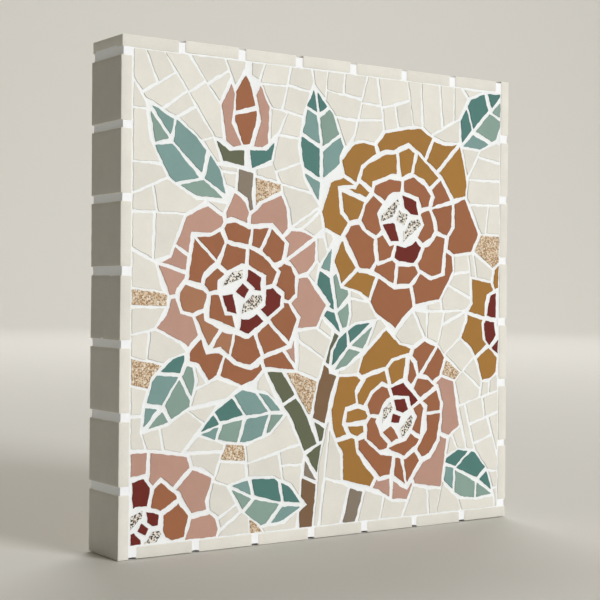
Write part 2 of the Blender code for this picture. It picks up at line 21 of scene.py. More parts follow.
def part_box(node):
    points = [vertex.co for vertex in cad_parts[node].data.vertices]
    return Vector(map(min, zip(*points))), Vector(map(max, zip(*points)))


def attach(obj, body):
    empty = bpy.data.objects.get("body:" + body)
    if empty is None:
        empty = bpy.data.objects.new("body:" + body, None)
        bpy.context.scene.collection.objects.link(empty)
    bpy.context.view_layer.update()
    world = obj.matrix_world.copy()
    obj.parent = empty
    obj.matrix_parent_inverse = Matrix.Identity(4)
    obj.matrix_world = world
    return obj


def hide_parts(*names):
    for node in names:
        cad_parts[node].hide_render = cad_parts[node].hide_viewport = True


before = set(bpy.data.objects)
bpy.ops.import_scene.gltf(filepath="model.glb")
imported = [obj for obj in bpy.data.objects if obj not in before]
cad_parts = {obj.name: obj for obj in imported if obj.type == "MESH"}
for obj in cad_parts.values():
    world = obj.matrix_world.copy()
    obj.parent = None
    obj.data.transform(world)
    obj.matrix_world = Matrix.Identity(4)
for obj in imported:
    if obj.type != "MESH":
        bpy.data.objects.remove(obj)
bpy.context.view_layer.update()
MM = 0.001
BODY = "root"
frame_tiles = sorted(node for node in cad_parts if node.startswith("frame_tile_"))
picture_nodes = sorted(set(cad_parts) - set(frame_tiles) - {"board", "side_grout"})

# %% [markdown]
# ## The sizes that everything shares
#
# Nothing is measured twice. The front is the lowest y of the solids, the thickness of the stock is that of
# a frame tile, and the grout's level is where the side joints end. What the solids don't say, such as how
# round a worn edge is, is a named size in millimetres. Noise vectors start from the clock, so they are
# given a seed, and the panel comes out the same each time.

# %% Read the shared sizes from the frame
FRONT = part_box("background")[0].y
GROUT_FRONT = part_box("side_grout")[0].y
BED_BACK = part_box("background")[1].y
BOARD_LOW, BOARD_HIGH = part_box("board")
tile_low, tile_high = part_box("frame_tile_top_1")
TILE_SIDE = tile_high.x - tile_low.x
TILE_THICKNESS = tile_high.z - tile_low.z
HALF_PANEL = tile_high.z
HALF_INSIDE = HALF_PANEL - TILE_THICKNESS
noise.seed_set(11)
print(f"tile {TILE_SIDE / MM:.1f} x {TILE_THICKNESS / MM:.1f} mm, panel {2 * HALF_PANEL / MM:.1f} mm")
print(f"shards stand {(GROUT_FRONT - FRONT) / MM:.2f} mm out of the grout")

# %% [markdown]
# ## Small helpers for working by hand
#
# Operators act on whatever is selected, so each step starts by saying what that is. Faces, edges and
# corners are picked in code, by their place or their length, where a modeller would box-select them.


# %% Selecting
def only(piece):
    """Makes one object the active one, with nothing else selected."""
    bpy.ops.object.select_all(action="DESELECT")
    piece.select_set(True)
    bpy.context.view_layer.objects.active = piece


def pick(piece, kind, test):
    """Opens the active piece in edit mode with just the faces or edges that pass the test selected."""
    bpy.ops.object.mode_set(mode="EDIT")
    bpy.ops.mesh.select_mode(type=kind)
    bpy.ops.mesh.select_all(action="DESELECT")
    bpy.ops.object.mode_set(mode="OBJECT")
    parts = piece.data.polygons if kind == "FACE" else piece.data.edges
    for part in parts:
        part.select = bool(test(part))
    bpy.ops.object.mode_set(mode="EDIT")


def pick_all():
    """Opens the active piece in edit mode with everything selected."""
    bpy.ops.object.mode_set(mode="EDIT")
    bpy.ops.mesh.select_all(action="SELECT")


def done():
    """Back to object mode."""
    bpy.ops.object.mode_set(mode="OBJECT")


def apply_modifier(piece, kind, **settings):
    """Adds a modifier with its settings and applies it."""
    modifier = piece.modifiers.new(kind.lower(), kind)
    for name, value in settings.items():
        setattr(modifier, name, value)
    only(piece)
    bpy.ops.object.modifier_apply(modifier=modifier.name)


def corners_of(mesh):
    """All corners of a mesh as an array, one row each."""
    found = np.empty(len(mesh.vertices) * 3)
    mesh.vertices.foreach_get("co", found)
    return found.reshape(-1, 3)


def put_corners(mesh, places):
    """Writes the corners back."""
    mesh.vertices.foreach_set("co", places.ravel())
    mesh.update()


def shard_numbers(mesh):
    """Which shard each corner belongs to: corners joined by edges are one shard."""
    number = list(range(len(mesh.vertices)))

    def root(i):
        while number[i] != i:
            number[i] = number[number[i]]
            i = number[i]
        return i

    for edge in mesh.edges:
        a, b = edge.vertices
        number[root(a)] = root(b)
    roots = [root(i) for i in range(len(number))]
    order = {first: index for index, first in enumerate(sorted(set(roots)))}
    return np.array([order[r] for r in roots])


# %% [markdown]
# ## The shards
#
# A shard is a piece that wheeled nippers broke off a tile. Its face is the tile's own flat face. Its sides
# are broken, so its outline is made of nearly straight lines that wander a little, and its corners stay
# sharp. The maker only takes the burr off with a stone, which leaves a hair's breadth of chamfer. No two
# shards lie quite level in the mortar.
#
# Each part of the picture already holds the flat tops of its shards. A copy is cut down to those tops, and
# their outlines are divided into short steps, shaken a little and let out a few tenths of a millimetre,
# because the shards of the ground and of the leaves lie closer together than those of the blooms. Then the
# tops are given their thickness with Solidify. One inset makes the chamfer. Its offset isn't evened out at
# corners, because that would push the points of narrow shards through each other.

# %% Cut one part of the picture into shards
SAME_PLACE = 0.01 * MM
TOP_MARGIN = 0.1 * MM
NIP_LEAST = 0.45 * MM
NIP_STEP = 1.0 * MM
NIP_ROUNDS = 5
NIP_SHAKE = 0.34 * MM
NIP_WAVE = 3.1 * MM
CHIP_SHAKE = 0.16 * MM
CHIP_WAVE = 1.1 * MM
NOISE_STRIDE = 7.3
CHAMFER = 0.09 * MM
SHARD_DEPTH = 2.0 * MM
TILT = math.radians(0.8)
TILT_REACH = 9 * MM
RISE = 0.05 * MM
LET_OUT = {"background": 0.10 * MM, "leaf": 0.20 * MM, "stem": 0.15 * MM, "bud": 0.15 * MM}
RIM_GAP = 0.42 * MM
RIM_UNEVEN = 0.5


def shard_outlines(node):
    """The outlines of the node's shards, as loops of edges in short, slightly wandering steps."""
    piece = bpy.data.objects.new("shards_" + node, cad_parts[node].data.copy())
    bpy.context.scene.collection.objects.link(piece)
    piece.data.materials.clear()
    only(piece)
    pick_all()
    bpy.ops.mesh.remove_doubles(threshold=SAME_PLACE)
    done()
    pick(piece, "FACE", lambda face: face.center.y > FRONT + TOP_MARGIN)
    bpy.ops.mesh.delete(type="FACE")
    bpy.ops.mesh.select_all(action="SELECT")
    bpy.ops.mesh.dissolve_limited(angle_limit=math.radians(1))
    bpy.ops.mesh.select_all(action="SELECT")
    bpy.ops.mesh.delete(type="ONLY_FACE")
    bpy.ops.mesh.select_all(action="SELECT")
    bpy.ops.mesh.remove_doubles(threshold=NIP_LEAST)
    done()
    for _ in range(NIP_ROUNDS):
        places = corners_of(piece.data)

        def is_long(edge):
            a, b = edge.vertices
            return np.linalg.norm(places[a] - places[b]) > NIP_STEP

        pick(piece, "EDGE", is_long)
        bpy.ops.mesh.subdivide(number_cuts=1)
        done()
    places = corners_of(piece.data)
    for index, number in enumerate(shard_numbers(piece.data)):
        place, own = Vector(places[index]), Vector((0, NOISE_STRIDE * number, 0))
        shake = noise.noise_vector(place / NIP_WAVE + own) * NIP_SHAKE
        shake += noise.noise_vector(place / CHIP_WAVE + own) * CHIP_SHAKE
        places[index] += np.array((shake.x, 0, shake.z))
    put_corners(piece.data, places)
    return piece


def fill_outlines(piece, let_out):
    """Fills the outlines with faces to the front, and lets them out, though not up to the frame."""
    only(piece)
    pick_all()
    bpy.ops.mesh.edge_face_add()
    bpy.ops.mesh.select_all(action="SELECT")
    bpy.ops.transform.translate(value=(0, CHAMFER, 0))
    done()
    pick(piece, "FACE", lambda face: face.normal.y > 0)
    bpy.ops.mesh.flip_normals()
    done()
    places = corners_of(piece.data)
    moved = places.copy()
    for face in piece.data.polygons:
        ring = list(face.vertices)
        for before, here, after in zip(ring[-1:] + ring[:-1], ring, ring[1:] + ring[:1]):
            along = Vector(places[after] - places[before])
            outwards = along.cross(face.normal).normalized()
            moved[here] += np.array(outwards) * let_out
    for place in moved:
        reach = HALF_INSIDE - RIM_GAP * (1 + RIM_UNEVEN * noise.noise(Vector(place) / NIP_WAVE))
        place[0] = np.clip(place[0], -reach, reach)
        place[2] = np.clip(place[2], -reach, reach)
    put_corners(piece.data, moved)


def thicken(piece):
    """Gives the shards their thickness and chamfers their upper edges."""
    apply_modifier(piece, "SOLIDIFY", thickness=SHARD_DEPTH, offset=-1)
    pick(piece, "FACE", lambda face: face.normal.y < -0.9)
    bpy.ops.mesh.inset(
        thickness=CHAMFER,
        depth=CHAMFER,
        use_individual=True,
        use_even_offset=False,
    )
    done()


def settle(piece, chance):
    """Tilts and lifts each shard a little, as a thumb leaves it. Returns the middles of the shards."""
    places = corners_of(piece.data)
    numbers = shard_numbers(piece.data)
    middles = []
    for number in range(numbers.max() + 1):
        mine = numbers == number
        middle = Vector(places[mine].mean(axis=0))
        reach = max(np.ptp(places[mine][:, 0]), np.ptp(places[mine][:, 2]))
        lean = TILT * min(1, TILT_REACH / reach)
        turn = Matrix.Rotation(chance.uniform(-lean, lean), 3, "X")
        turn = turn @ Matrix.Rotation(chance.uniform(-lean, lean), 3, "Z")
        lift = Vector((0, chance.uniform(-RISE, RISE), 0))
        places[mine] = (places[mine] - middle) @ np.array(turn).T + middle + lift
        middles.append(middle)
    put_corners(piece.data, places)
    return numbers, middles


chance = random.Random(4)
shards = {}
outline_places = []
for node in picture_nodes:
    piece = shard_outlines(node)
    fill_outlines(piece, LET_OUT.get(node.split("_")[0], 0))
    outline_places.append(corners_of(piece.data))
    thicken(piece)
    shards[node] = (piece, *settle(piece, chance))
    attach(piece, BODY)
    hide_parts(node)
print(sum(len(middles) for _, _, middles in shards.values()), "shards")
print(sum(len(piece.data.loop_triangles) for piece, _, _ in shards.values()), "triangles in them")

# %% [markdown]
# ## The grout in the joints of the picture
#
# Grout is wiped off with a sponge, so it stands almost level with the shards: it meets each shard's side a
# hair below its face and sinks to a very shallow hollow halfway to the next. Where the joint is wide the
# hollow is flat and bears the sponge's marks.
#
# It is one sheet under all the shards. A grid is laid at the grout's level and each corner sinks by its
# distance from the nearest shard. Only the squares near a joint are divided again, because the rest are
# under shards.

# %% Lay the grout sheet
GRID_STEPS = 176
NEAR_JOINT = 0.95
RIM_STEP = 0.5 * MM
MEET_DEPTH = 0.17 * MM
HOLLOW_DEPTH = 0.34 * MM
HOLLOW_REACH = 0.6 * MM
LUMP = 0.11 * MM
LUMP_SIZE = 5.0 * MM
GRIT_SIZE = 0.9 * MM
GRIT_SHARE = 0.3
OVERLAP = 0.4 * MM
SKIRT = 2.5 * MM


def joint_tree():
    """Finds the distance to the nearest shard's side or frame tile."""
    rim = np.arange(-HALF_INSIDE, HALF_INSIDE, RIM_STEP)
    level = np.full(len(rim), FRONT)
    far = np.full(len(rim), HALF_INSIDE)
    walls = [
        np.column_stack((x, level, z))
        for x, z in ((rim, far), (rim, -far), (far, rim), (-far, rim))
    ]
    places = np.concatenate(outline_places + walls)
    tree = kdtree.KDTree(len(places))
    for index, place in enumerate(places):
        tree.insert((place[0], 0, place[2]), index)
    tree.balance()
    return tree


def lay_grout_sheet():
    """A sheet at the grout's level, divided finely along the joints and hollowed between the shards."""
    size = 2 * (HALF_INSIDE + OVERLAP)
    bpy.ops.object.select_all(action="DESELECT")
    bpy.ops.mesh.primitive_grid_add(
        x_subdivisions=GRID_STEPS,
        y_subdivisions=GRID_STEPS,
        size=size,
        location=(0, GROUT_FRONT, 0),
        rotation=(math.pi / 2, 0, 0),
    )
    sheet = bpy.context.object
    sheet.name = "grout_face"
    bpy.ops.object.transform_apply(location=True, rotation=True, scale=True)
    tree = joint_tree()
    step = size / GRID_STEPS

    def is_near_joint(face):
        return tree.find((face.center.x, 0, face.center.z))[2] < NEAR_JOINT * step

    pick(sheet, "FACE", is_near_joint)
    bpy.ops.mesh.subdivide(number_cuts=1)
    done()
    places = corners_of(sheet.data)
    for place in places:
        gap = tree.find((place[0], 0, place[2]))[2]
        sink = MEET_DEPTH + HOLLOW_DEPTH * (1 - math.exp(-gap / HOLLOW_REACH))
        lump = LUMP * noise.noise(Vector(place) / LUMP_SIZE)
        grit = GRIT_SHARE * LUMP * noise.noise(Vector(place) / GRIT_SIZE)
        place[1] = FRONT + sink + lump + grit
    put_corners(sheet.data, places)
    pick_all()
    bpy.ops.mesh.select_mode(type="EDGE")
    bpy.ops.mesh.select_all(action="DESELECT")
    bpy.ops.mesh.select_non_manifold()
    bpy.ops.mesh.extrude_region_move(TRANSFORM_OT_translate={"value": (0, SKIRT, 0)})
    bpy.ops.transform.resize(value=(1, 0, 1), center_override=(0, BED_BACK, 0))
    bpy.ops.mesh.edge_face_add()
    bpy.ops.mesh.select_all(action="SELECT")
    bpy.ops.mesh.normals_make_consistent(inside=False)
    done()
    return sheet


grout_face = lay_grout_sheet()
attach(grout_face, BODY)
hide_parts("background")
print(len(grout_face.data.polygons), "faces in the grout sheet")

# %% [markdown]
# ## The frame tiles
#
# These are whole tiles from the same range, 25 mm square, set on edge. A pressed porcelain tile has a flat
# face and soft edges where the die closed. They were set by eye, so each one sits a little off its place.
#
# One tile is modelled: a block at its size, its edges rounded, its faces divided so that they can swell by
# a hair. Then it is copied to each place that the frame gives, turned to its side and nudged.

# %% Model one frame tile
EDGE_ROUND = 0.26 * MM
EDGE_SEGMENTS = 2
FACE_CUTS = 13
SWELL = 0.08 * MM
NUDGE = 0.30 * MM
PUSH = 0.22 * MM
TWIST = math.radians(0.6)
WEAR = 0.07 * MM
WEAR_SIZE = 2.3 * MM


def frame_tile():
    """One tile, lying in the x and y plane, with its thickness along z."""
    bpy.ops.object.select_all(action="DESELECT")
    bpy.ops.mesh.primitive_cube_add(size=1)
    tile = bpy.context.object
    tile.name = "frame_tile_model"
    tile.dimensions = (TILE_SIDE, TILE_SIDE, TILE_THICKNESS)
    bpy.ops.object.transform_apply(location=True, rotation=True, scale=True)
    apply_modifier(tile, "BEVEL", width=EDGE_ROUND, segments=EDGE_SEGMENTS)
    places = corners_of(tile.data)

    def is_long(edge):
        a, b = edge.vertices
        return np.linalg.norm(places[a] - places[b]) > TILE_SIDE / 2

    pick(tile, "EDGE", is_long)
    bpy.ops.mesh.subdivide(number_cuts=FACE_CUTS)
    done()
    places = corners_of(tile.data)
    for place in places:
        run = max(abs(place[0]), abs(place[1])) / (TILE_SIDE / 2)
        place[2] *= 1 - SWELL / (TILE_THICKNESS / 2) * run**4
    put_corners(tile.data, places)
    return tile


def set_frame_tiles():
    """A copy of the tile at each place, lying flat on its side of the panel and a little off true."""
    model = frame_tile()
    for node in frame_tiles:
        low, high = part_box(node)
        piece = bpy.data.objects.new("set_" + node[6:], model.data.copy())
        bpy.context.scene.collection.objects.link(piece)
        stands = high.x - low.x < high.z - low.z
        turn = Matrix.Rotation(math.pi / 2, 4, "Y") if stands else Matrix.Identity(4)
        along = Vector((0, 0, 1)) if stands else Vector((1, 0, 0))
        out = Vector((1, 0, 0)) if stands else Vector((0, 0, 1))
        nudge = along * chance.uniform(-NUDGE, NUDGE) + out * chance.uniform(-PUSH, PUSH)
        twist = Matrix.Rotation(chance.uniform(-TWIST, TWIST), 4, along.cross(Vector((0, 1, 0))))
        quarter = Matrix.Rotation(chance.randrange(4) * math.pi / 2, 4, "Z")
        piece.data.transform(Matrix.Translation((low + high) / 2 + nudge) @ twist @ turn @ quarter)
        wear_edges(piece.data)
        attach(piece, BODY)
        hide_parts(node)
        yield piece
    bpy.data.objects.remove(model)


def wear_edges(mesh):
    """Roughens the corners of a tile by a few hundredths of a millimetre."""
    places = corners_of(mesh)
    for place in places:
        place += np.array(noise.noise_vector(Vector(place) / WEAR_SIZE)) * WEAR
    put_corners(mesh, places)


set_tiles = list(set_frame_tiles())
print(len(set_tiles), "frame tiles set")

# %% [markdown]
# ## The mortar of the sides
#
# Between the frame tiles the grout stands almost level with their faces, hollowed by the finger that
# smoothed it and lapping here and there over their worn edges. At the front and at the back the sponge
# washed some of it out, which leaves a small notch in the outline. Behind the tiles a coat of mortar holds
# them to the board: it only shows at the back.
#
# One rib of grout is a block as deep as the panel, divided across and along. Its outer face is hollowed and
# roughened where it stands. The coat is a square block with its middle cut out by an inset.

# %% Fill the side joints
RIB_FRONT = FRONT + 0.22 * MM
RIB_BACK = -0.5 * MM
RIB_RECESS = 0.20 * MM
RIB_HOLLOW = 0.10 * MM
RIB_ROUGH = 0.14 * MM
WASHED_OUT = 0.55 * MM
WASH_REACH = 1.6 * MM
ROUGH_SIZE = 2.5 * MM
FRONT_SHARE = 0.7
LENGTHWAYS = (TILE_SIDE / 2, 23)
ACROSS = (2 * MM, 5)
COAT_GAP = 0.1 * MM


def rib_places():
    """For each side joint: the way out, the way along the row, the joint's middle and its width."""
    ways_out = {
        "top": Vector((0, 0, 1)),
        "right": Vector((1, 0, 0)),
        "bottom": Vector((0, 0, -1)),
        "left": Vector((-1, 0, 0)),
    }
    for way, out in ways_out.items():
        row = [node for node in frame_tiles if f"_{way}_" in node]
        along = Vector((1, 0, 0)) if out.x == 0 else Vector((0, 0, 1))
        spans = sorted((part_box(node)[0].dot(along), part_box(node)[1].dot(along)) for node in row)
        for (_, end), (start, _) in zip(spans, spans[1:]):
            yield out, along, (end + start) / 2, start - end
        end_gap = HALF_INSIDE - spans[-1][1]
        start_gap = spans[0][0] + HALF_INSIDE
        joint = spans[1][0] - spans[0][1]
        if start_gap > end_gap:
            yield out, along, spans[0][0] - joint / 2, joint
        else:
            yield out, along, spans[-1][1] + joint / 2, joint


def fill_side_joints():
    """All the ribs, each hollowed along its middle."""
    ribs = []
    for out, along, middle, joint in rib_places():
        wide = joint + 3 * OVERLAP
        outer = HALF_PANEL - RIB_RECESS
        inner = HALF_INSIDE - 2 * OVERLAP
        centre = out * (outer + inner) / 2 + along * middle + Vector((0, (RIB_FRONT + RIB_BACK) / 2, 0))
        size = Vector([abs(o) * (outer - inner) + abs(a) * wide for o, a in zip(out, along)])
        size.y = RIB_BACK - RIB_FRONT
        bpy.ops.object.select_all(action="DESELECT")
        bpy.ops.mesh.primitive_cube_add(size=1, location=centre, scale=size)
        rib = bpy.context.object
        bpy.ops.object.transform_apply(location=True, rotation=True, scale=True)
        for least, cuts in (LENGTHWAYS, ACROSS):
            places = corners_of(rib.data)

            def is_long(edge):
                a, b = edge.vertices
                return np.linalg.norm(places[a] - places[b]) > least

            pick(rib, "EDGE", is_long)
            bpy.ops.mesh.subdivide(number_cuts=cuts)
            done()
        places = corners_of(rib.data)
        for place in places:
            spot = Vector(place)
            side = min(1, abs(spot.dot(along) - middle) / (joint / 2))
            sink = RIB_HOLLOW * (1 - side**2) + RIB_ROUGH * noise.noise(spot / ROUGH_SIZE)
            if spot.dot(out) > outer - SAME_PLACE:
                from_edge = min(spot.y - RIB_FRONT, RIB_BACK - spot.y)
                spot -= out * (sink + WASHED_OUT * math.exp(-from_edge / WASH_REACH))
            if spot.y < RIB_FRONT + SAME_PLACE:
                spot.y += FRONT_SHARE * sink
            place[:] = spot
        put_corners(rib.data, places)
        ribs.append(rib)
    return ribs


def mortar_coat():
    """The coat round the board: a square block with its middle cut out."""
    outer = HALF_INSIDE + OVERLAP / 4
    inner = BOARD_HIGH.x + COAT_GAP
    bpy.ops.object.select_all(action="DESELECT")
    depth = BOARD_HIGH.y - BOARD_LOW.y
    bpy.ops.mesh.primitive_cube_add(
        size=1,
        location=(0, -depth / 2, 0),
        scale=(2 * outer, depth, 2 * outer),
    )
    coat = bpy.context.object
    bpy.ops.object.transform_apply(location=True, rotation=True, scale=True)
    pick(coat, "FACE", lambda face: abs(face.normal.y) > 0.9)
    bpy.ops.mesh.inset(thickness=outer - inner)
    bpy.ops.mesh.bridge_edge_loops()
    bpy.ops.mesh.select_all(action="SELECT")
    bpy.ops.mesh.normals_make_consistent(inside=False)
    done()
    return coat


ribs = fill_side_joints()
coat = mortar_coat()
bpy.ops.object.select_all(action="DESELECT")
for part in ribs:
    part.select_set(True)
coat.select_set(True)
bpy.context.view_layer.objects.active = coat
bpy.ops.object.join()
grout_sides = bpy.context.object
grout_sides.name = "grout_sides"
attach(grout_sides, BODY)
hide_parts("side_grout")
print(len(ribs), "side joints filled,", len(grout_sides.data.polygons), "faces")

# %% [markdown]
# ## Materials
#
# Each colour is written as it would be picked on a screen and turned to linear light by one function. One
# small function adds a node with its settings and links.


# %% Material helpers
def linear(hex_colour, alpha=1.0):
    """A screen colour, such as e6e2d9, as linear red, green, blue and alpha."""
    channels = [int(hex_colour[i : i + 2], 16) / 255 for i in (0, 2, 4)]
    return tuple(c / 12.92 if c <= 0.04045 else ((c + 0.055) / 1.055) ** 2.4 for c in channels) + (alpha,)


def add_node(tree, kind, settings=None, **links):
    """Adds a shader node with its settings. Links bring the outputs of other nodes to its sockets."""
    node = tree.nodes.new(kind)
    for name, value in (settings or {}).items():
        if name in node.inputs:
            node.inputs[name].default_value = value
        else:
            setattr(node, name, value)
    for name, source in links.items():
        is_number = name[0] == "i" and name[1:].isdigit()
        tree.links.new(source, node.inputs[int(name[1:])] if is_number else node.inputs[name])
    return node


def new_material(name, **settings):
    """A Principled material with its plain values set. Returns the material, its tree and its shader."""
    made = bpy.data.materials.new(name)
    made.use_nodes = True
    tree = made.node_tree
    shader = tree.nodes["Principled BSDF"]
    for socket, value in settings.items():
        shader.inputs[socket.replace("_", " ")].default_value = value
    return made, tree, shader


# %% [markdown]
# ### Unglazed porcelain
#
# Porcelain mosaic is pressed from coloured clay and fired hard, so the colour runs all the way through and
# the face is smooth but matt. Up close it is a little cloudy and finely grained. The speckled sorts have
# grains of a darker clay, half a millimetre to a millimetre across, scattered in a pale body.
#
# Every sort shares one recipe: a slow cloud, a fine grain and the shard's own tone, stored on each shard,
# because they were cut from different tiles. On the frame tiles the stored tone also carries painted
# highlight on the rounded edges and painted shade on the pressed faces. The specks are cells of a Voronoi
# pattern, most of them left empty.

# %% Make the porcelain sorts
CLOUD = 7.0 * MM
GRAIN = 0.45 * MM
CLOUD_DARK = (0.94, 0.93, 0.92, 1.0)
CLOUD_LIGHT = (1.06, 1.06, 1.05, 1.0)
WARP_SIZE = 0.5 * MM
WARP_REACH = 0.4 * MM
SPECK_SHIFT = Vector((0.0313, 0.0171, 0.0237))
SPECK_RADIUS = (0.25, 0.58)
GRAIN_TONE = (0.98, 1.02)
GRAIN_DEPTH = 0.03 * MM


def porcelain(name, base, specks=()):
    """Matt through-coloured porcelain, with specks of other clays where they are named."""
    made, tree, shader = new_material(name, Roughness=0.66, IOR=1.5, Specular_IOR_Level=0.3)
    place = add_node(tree, "ShaderNodeTexCoord").outputs["Object"]
    cloud = add_node(tree, "ShaderNodeTexNoise", {"Scale": 1 / CLOUD, "Detail": 3.0}, Vector=place)
    grain = add_node(tree, "ShaderNodeTexNoise", {"Scale": 1 / GRAIN, "Detail": 2.0}, Vector=place)
    tone = add_node(tree, "ShaderNodeAttribute", {"attribute_name": "tone"})
    clay = add_node(tree, "ShaderNodeMix", {"data_type": "RGBA"}, i0=cloud.outputs["Fac"])
    clay.inputs[6].default_value = [c * dim for c, dim in zip(linear(base), CLOUD_DARK)]
    clay.inputs[7].default_value = [c * gain for c, gain in zip(linear(base), CLOUD_LIGHT)]
    result = clay.outputs[2]
    for index, (speck, crowd, size) in enumerate(specks):
        warp = add_node(tree, "ShaderNodeTexNoise", {"Scale": 1 / WARP_SIZE, "Detail": 1.0}, Vector=place)
        shift = add_node(
            tree,
            "ShaderNodeVectorMath",
            {"operation": "SCALE", "Scale": WARP_REACH},
            Vector=warp.outputs["Color"],
        )
        moved = add_node(tree, "ShaderNodeVectorMath", {"operation": "ADD"}, i0=place, i1=shift.outputs[0])
        away = add_node(tree, "ShaderNodeVectorMath", {"operation": "ADD"}, i0=moved.outputs[0])
        away.inputs[1].default_value = SPECK_SHIFT * index
        cells = add_node(tree, "ShaderNodeTexVoronoi", {"Scale": 1 / (size * MM)}, Vector=away.outputs[0])
        chosen = add_node(tree, "ShaderNodeSeparateColor", Color=cells.outputs["Color"])
        full = add_node(tree, "ShaderNodeMath", {"operation": "LESS_THAN"}, i0=chosen.outputs["Red"])
        full.inputs[1].default_value = crowd
        radius = add_node(
            tree,
            "ShaderNodeMapRange",
            {"From Min": 0.0, "From Max": 1.0, "To Min": SPECK_RADIUS[0], "To Max": SPECK_RADIUS[1]},
            Value=chosen.outputs["Green"],
        )
        near = add_node(
            tree,
            "ShaderNodeMath",
            {"operation": "LESS_THAN"},
            i0=cells.outputs["Distance"],
            i1=radius.outputs["Result"],
        )
        mask = add_node(
            tree,
            "ShaderNodeMath",
            {"operation": "MULTIPLY"},
            i0=near.outputs[0],
            i1=full.outputs[0],
        )
        mixed = add_node(tree, "ShaderNodeMix", {"data_type": "RGBA"}, i0=mask.outputs[0], i6=result)
        mixed.inputs[7].default_value = linear(speck)
        result = mixed.outputs[2]
    fine = add_node(
        tree,
        "ShaderNodeMapRange",
        {"From Min": 0.3, "From Max": 0.7, "To Min": GRAIN_TONE[0], "To Max": GRAIN_TONE[1]},
        Value=grain.outputs["Fac"],
    )
    both = add_node(
        tree,
        "ShaderNodeMath",
        {"operation": "MULTIPLY"},
        i0=fine.outputs[0],
        i1=tone.outputs["Fac"],
    )
    shaded = add_node(
        tree,
        "ShaderNodeVectorMath",
        {"operation": "SCALE"},
        i0=result,
        Scale=both.outputs[0],
    )
    bump = add_node(
        tree,
        "ShaderNodeBump",
        {"Strength": 0.35, "Distance": GRAIN_DEPTH},
        Height=grain.outputs["Fac"],
    )
    tree.links.new(shaded.outputs["Vector"], shader.inputs["Base Color"])
    tree.links.new(bump.outputs["Normal"], shader.inputs["Normal"])
    return made


CREAM = porcelain("cream_porcelain", "dfddd7")
PINK = porcelain("dusty_pink_porcelain", "b89183")
TERRACOTTA = porcelain("terracotta_porcelain", "986040")
ORANGE = porcelain("orange_porcelain", "a47355")
OCHRE = porcelain("ochre_porcelain", "9f7232")
BURGUNDY = porcelain("burgundy_porcelain", "691a0f")
SAGE = porcelain("sage_porcelain", "849e96")
TEAL = porcelain("teal_porcelain", "4a7874")
BLUE_GREEN = porcelain("blue_green_porcelain", "789997")
BARK = porcelain("bark_porcelain", "7a5e44")
GREY_BROWN = porcelain("grey_brown_porcelain", "82776a")
OLIVE = porcelain("olive_porcelain", "5e634c")
SAND_SPECKLED = porcelain(
    "sand_speckled_porcelain",
    "d3c0a8",
    (("ad8861", 0.95, 0.85), ("8d7153", 0.7, 0.8), ("e3d8c8", 0.4, 0.95)),
)
PEPPER_SPECKLED = porcelain(
    "pepper_speckled_porcelain",
    "e6e3dd",
    (("b3a28c", 0.4, 0.8), ("77706a", 0.5, 0.75), ("262322", 0.72, 0.8)),
)
print(len(CREAM.node_tree.nodes), "nodes in a plain sort of porcelain")
print(len(PEPPER_SPECKLED.node_tree.nodes), "nodes in a speckled one")

# %% [markdown]
# ### Which shard is cut from which tile
#
# A bloom is built from the middle out: a tiny heart of burgundy and speckled shards, terracotta inner
# petals, and outer ones in large patches of one colour. A leaf has a light and a dark half. The speckled
# sand tile is kept for a few shards of the ground. Each ring of a bloom names its sorts in the order in
# which they follow one another round it, clockwise from the top, so neighbours share a colour as they do
# where one tile was used up before the next.

# %% Colour the shards
SPECKLED_SHARE = 0.075
SHARD_TONES = (0.96, 1.03)
TILE_TONES = (0.95, 1.03)
BEYOND_CUT = 0.03
SEPAL_HEIGHT = 0.32
BUD_HEART = 0.15
FACING = 0.85
HEART = (0.24, (BURGUNDY, PEPPER_SPECKLED, BURGUNDY, PEPPER_SPECKLED))
ANYWHERE = 9
BLOOM_RINGS = {
    "terracotta_bloom": (
        HEART,
        (0.44, (TERRACOTTA, TERRACOTTA, BURGUNDY, TERRACOTTA, TERRACOTTA)),
        (0.60, (TERRACOTTA, TERRACOTTA, TERRACOTTA, OCHRE)),
        (ANYWHERE, (OCHRE, TERRACOTTA, TERRACOTTA, OCHRE, OCHRE)),
    ),
    "pink_bloom": (
        HEART,
        (0.45, (TERRACOTTA, BURGUNDY, TERRACOTTA, TERRACOTTA)),
        (0.70, (TERRACOTTA, TERRACOTTA, ORANGE, TERRACOTTA)),
        (ANYWHERE, (PINK, PINK, TERRACOTTA, PINK, PINK)),
    ),
    "ochre_bloom": (
        HEART,
        (0.44, (BURGUNDY, TERRACOTTA, TERRACOTTA, TERRACOTTA)),
        (0.66, (TERRACOTTA, TERRACOTTA, OCHRE)),
        (ANYWHERE, (TERRACOTTA, PINK, PINK, OCHRE, OCHRE)),
    ),
    "corner_bloom": (HEART, (0.66, (TERRACOTTA, BURGUNDY)), (ANYWHERE, (PINK, ORANGE, PINK))),
    "edge_bloom": (HEART, (0.66, (TERRACOTTA, BURGUNDY)), (ANYWHERE, (ORANGE, OCHRE))),
}
PATCH_LOOSENESS = 0.04
# Painted highlight: the rounded edges of the frame tiles are drawn lighter.
PAINTED_EDGE_HIGHLIGHT = 1.25
# Painted shade: the pressed, outward faces of the frame tiles, which form the panel's sides, are drawn
# darker.
PAINTED_SIDE_SHADE = 0.80


def bloom_centre(node):
    """The middle of a bloom and its reach. A cut bloom's middle is taken where its smallest shards are."""
    low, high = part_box(node)
    centre = (low + high) / 2
    beyond = BEYOND_CUT * 2 * HALF_INSIDE
    if node == "corner_bloom":
        centre = Vector((low.x + beyond, 0, low.z + beyond))
    if node == "edge_bloom":
        centre = Vector((high.x + beyond, 0, centre.z))
    reach = max(centre.x - low.x, high.x - centre.x, centre.z - low.z, high.z - centre.z)
    return centre, reach


